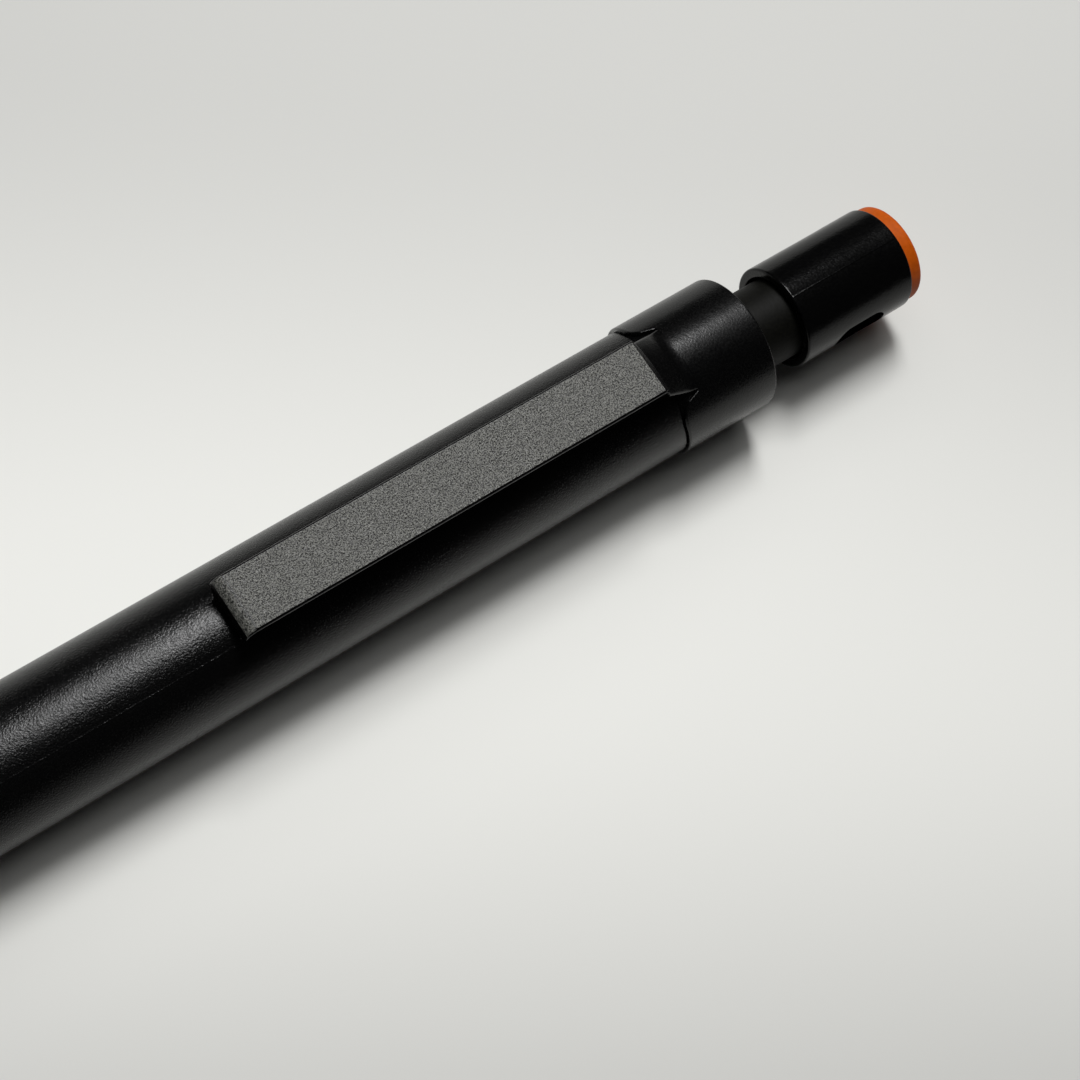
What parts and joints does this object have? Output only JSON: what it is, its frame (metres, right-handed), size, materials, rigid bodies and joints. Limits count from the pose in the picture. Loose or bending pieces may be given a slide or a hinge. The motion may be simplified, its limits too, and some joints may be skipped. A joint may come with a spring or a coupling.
{
  "type": "mechanical pencil",
  "caption": "Round matt black mechanical pencil with a flat pocket clip on a notched collar, a slim neck, a round push button with an orange end disc, a grooved grip and a clutch feed.",
  "frame": {"origin": "writing point: the front end of the lead sleeve, on the pencil's axis", "axes": "+X along the pencil's axis from the writing point to the button, +Z from the axis up through the clip, +Y completes a right-handed frame"},
  "size_m": [0.143, 0.0094, 0.011],
  "materials": {
    "barrel_plastic": "fine-grained matt black moulding",
    "grip_rubber": "matt black rubber with ring grooves",
    "satin_plastic": "satin black moulding",
    "clip_plastic": "coarse-grained matt black moulding",
    "cone_plastic": "satin black moulding",
    "button_plastic": "satin black moulding",
    "neck_plastic": "smooth dark grey moulding",
    "orange_plastic": "satin orange moulding",
    "inner_plastic": "natural grey moulding",
    "reservoir_plastic": "milky translucent tube",
    "seal_rubber": "black rubber",
    "sleeve_steel": "drawn stainless steel tube",
    "ferrule_steel": "pressed steel cup",
    "spring_steel": "drawn spring wire",
    "chuck_brass": "turned brass",
    "eraser_vinyl": "white vinyl",
    "graphite": "dark grey lead"
  },
  "bodies": {
    "barrel": {"barrel_tube": "barrel_plastic", "grip_sleeve": "grip_rubber", "clip_collar": "satin_plastic", "clutch_housing": "inner_plastic", "return_spring": "spring_steel"},
    "clip": {"clip_arm": "clip_plastic"},
    "cone_carriage": {"lead_sleeve": "sleeve_steel", "lead_retainer": "seal_rubber"},
    "cone": {"front_cone": "cone_plastic"},
    "mechanism": {"rear_holder": "neck_plastic", "reservoir_tube": "reservoir_plastic", "reservoir_coupler": "inner_plastic", "chuck_body": "chuck_brass", "spare_leads": "graphite"},
    "clutch_ring": {"clutch_ring": "chuck_brass"},
    "jaw_1": {"chuck_jaw_1": "chuck_brass"},
    "jaw_2": {"chuck_jaw_2": "chuck_brass"},
    "jaw_3": {"chuck_jaw_3": "chuck_brass"},
    "lead": {"loaded_lead": "graphite"},
    "cap": {"push_button": "button_plastic", "end_disc": "orange_plastic"},
    "eraser_plug": {"eraser": "eraser_vinyl", "eraser_ferrule": "ferrule_steel", "cleaning_needle": "spring_steel"}
  },
  "joints": [
    {"name": "clip_flex", "type": "hinge", "parent": "barrel", "child": "clip", "pos_m": [0.12305, 0, 0.00473], "axis": [0, 1, 0], "range_deg": [0, 2.5], "stiffness_Nm_per_rad": 2.5, "springref_deg": -0.57},
    {"name": "button_press", "type": "slide", "parent": "barrel", "child": "mechanism", "axis": [-1, 0, 0], "range_m": [0, 0.003], "stiffness_N_per_m": 1200, "springref_m": -0.0025, "deforming": ["return_spring"]},
    {"name": "clutch_ring_slide", "type": "slide", "parent": "barrel", "child": "clutch_ring", "axis": [-1, 0, 0], "range_m": [0, 0.0008]},
    {"name": "lead_feed", "type": "slide", "parent": "barrel", "child": "lead", "axis": [-1, 0, 0], "range_m": [0, 0.0008]},
    {"name": "jaw_1_open", "type": "hinge", "parent": "mechanism", "child": "jaw_1", "pos_m": [0.021, 0, 0.001], "axis": [0, 1, 0], "range_deg": [0, 1.5]},
    {"name": "jaw_2_open", "type": "hinge", "parent": "mechanism", "child": "jaw_2", "pos_m": [0.021, -0.00087, -0.0005], "axis": [0, -0.5, 0.866], "range_deg": [0, 1.5]},
    {"name": "jaw_3_open", "type": "hinge", "parent": "mechanism", "child": "jaw_3", "pos_m": [0.021, 0.00087, -0.0005], "axis": [0, -0.5, -0.866], "range_deg": [0, 1.5]},
    {"name": "cap_pull", "type": "slide", "parent": "mechanism", "child": "cap", "axis": [1, 0, 0], "range_m": [0, 0.02]},
    {"name": "eraser_pull", "type": "slide", "parent": "mechanism", "child": "eraser_plug", "axis": [1, 0, 0], "range_m": [0, 0.009]},
    {"name": "cone_travel", "type": "slide", "parent": "barrel", "child": "cone_carriage", "axis": [-1, 0, 0], "range_m": [0, 0.0045]},
    {"name": "cone_turn", "type": "hinge", "parent": "cone_carriage", "child": "cone", "pos_m": [0.0145, 0, 0], "axis": [-1, 0, 0], "range_deg": [0, 2160]}
  ],
  "couplings": [
    {"joint": "clutch_ring_slide", "follows": "button_press", "ratio": 0.2666},
    {"joint": "lead_feed", "follows": "button_press", "ratio": 0.2666},
    {"joint": "jaw_1_open", "follows": "button_press", "rad_per_m": 8.7266},
    {"joint": "jaw_2_open", "follows": "button_press", "rad_per_m": 8.7266},
    {"joint": "jaw_3_open", "follows": "button_press", "rad_per_m": 8.7266},
    {"joint": "eraser_pull", "follows": "cap_pull", "ratio": 0.45},
    {"joint": "cone_turn", "follows": "cone_travel", "rad_per_m": 8377.6}
  ]
}
